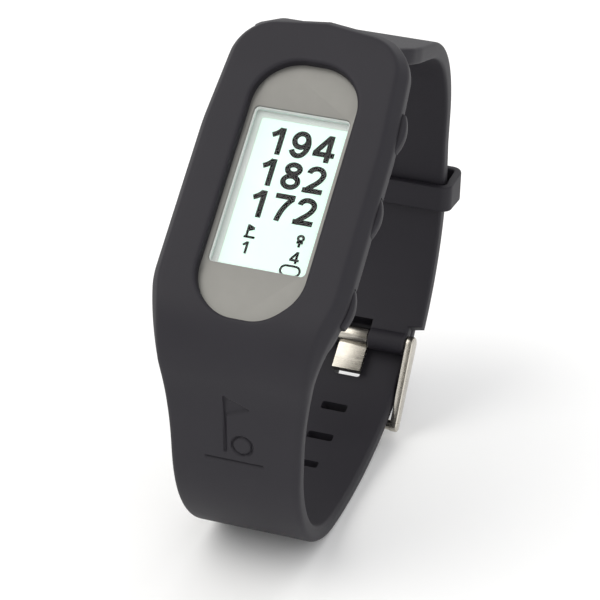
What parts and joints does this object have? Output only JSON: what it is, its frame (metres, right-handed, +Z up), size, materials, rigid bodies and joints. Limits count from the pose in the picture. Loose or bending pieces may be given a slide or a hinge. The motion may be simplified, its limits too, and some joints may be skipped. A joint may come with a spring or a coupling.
{
  "type": "golf gps watch",
  "caption": "Golf GPS watch: display module held in a one-piece moulded silicone wristband, closed by a pin buckle and a sliding keeper, with side buttons.",
  "frame": {"origin": "middle of the bounding box in X and Y, at the lowest point it rests on", "axes": "+X across the strap towards the buttons, -Y the side the display faces, +Z up, standing on its closed strap"},
  "size_m": [0.0282, 0.0688, 0.0707],
  "materials": {
    "silicone": "matt moulded silicone",
    "steel": "satin stainless steel",
    "module_plastic": "satin silver-grey plastic",
    "key_plastic": "moulded grey plastic",
    "lens": "clear window",
    "lcd": "reflective pale green liquid crystal panel",
    "diffuser": "white light guide",
    "gasket": "black rubber",
    "screw_steel": "plated steel",
    "board": "green solder mask",
    "chip": "black moulding compound",
    "ceramic": "ceramic patch antenna",
    "can": "tinned can",
    "cell": "foil pouch",
    "gold": "gold plated",
    "flex": "amber polyimide film",
    "nickel": "nickel strip",
    "foam": "foam pad",
    "switch_metal": "stamped metal"
  },
  "bodies": {
    "band": {"wristband": "silicone", "spring_bar_tube": "steel", "spring_bar_pins": "steel", "spring_bar_spring": "screw_steel", "front_cover": "module_plastic", "rear_cover": "module_plastic", "case_gasket": "gasket", "case_screws": "screw_steel", "display_lens": "lens", "lcd_panel": "lcd", "lcd_backlight": "diffuser", "display_carrier": "key_plastic", "lcd_flex": "flex", "main_board": "board", "gps_antenna": "ceramic", "gps_shield_can": "can", "processor_chip": "chip", "memory_chip": "chip", "clock_crystal": "can", "battery_cell": "cell", "battery_tabs": "nickel", "battery_pad": "foam", "charging_contacts": "gold", "contact_springs": "gold", "key_flex": "flex", "switch_body_up": "switch_metal", "switch_body_select": "switch_metal", "switch_body_down": "switch_metal"},
    "buckle": {"buckle_frame": "steel"},
    "tongue": {"buckle_tongue": "steel"},
    "keeper": {"strap_keeper": "silicone"},
    "button_up": {"button_cover_up": "silicone", "side_key_up": "key_plastic", "switch_plunger_up": "chip"},
    "button_select": {"button_cover_select": "silicone", "side_key_select": "key_plastic", "switch_plunger_select": "chip"},
    "button_down": {"button_cover_down": "silicone", "side_key_down": "key_plastic", "switch_plunger_down": "chip"}
  },
  "joints": [
    {"name": "button_up_press", "type": "slide", "parent": "band", "child": "button_up", "axis": [-1, 0, 0], "range_m": [0, 0.00025], "stiffness_N_per_m": 4000, "springref_m": -0.0001},
    {"name": "button_select_press", "type": "slide", "parent": "band", "child": "button_select", "axis": [-1, 0, 0], "range_m": [0, 0.00025], "stiffness_N_per_m": 4000, "springref_m": -0.0001},
    {"name": "button_down_press", "type": "slide", "parent": "band", "child": "button_down", "axis": [-1, 0, 0], "range_m": [0, 0.00025], "stiffness_N_per_m": 4000, "springref_m": -0.0001},
    {"name": "buckle_hinge", "type": "hinge", "parent": "band", "child": "buckle", "pos_m": [-0.00032, 0.01921, 0.01208], "axis": [1, 0, 0], "range_deg": [0, 3]},
    {"name": "tongue_hinge", "type": "hinge", "parent": "buckle", "child": "tongue", "pos_m": [-0.00032, 0.01921, 0.01208], "axis": [1, 0, 0], "range_deg": [0, 1]},
    {"name": "keeper_slide", "type": "hinge", "parent": "band", "child": "keeper", "pos_m": [-0.00032, -0.00252, 0.03472], "axis": [1, 0, 0], "range_deg": [-20, 4]}
  ]
}
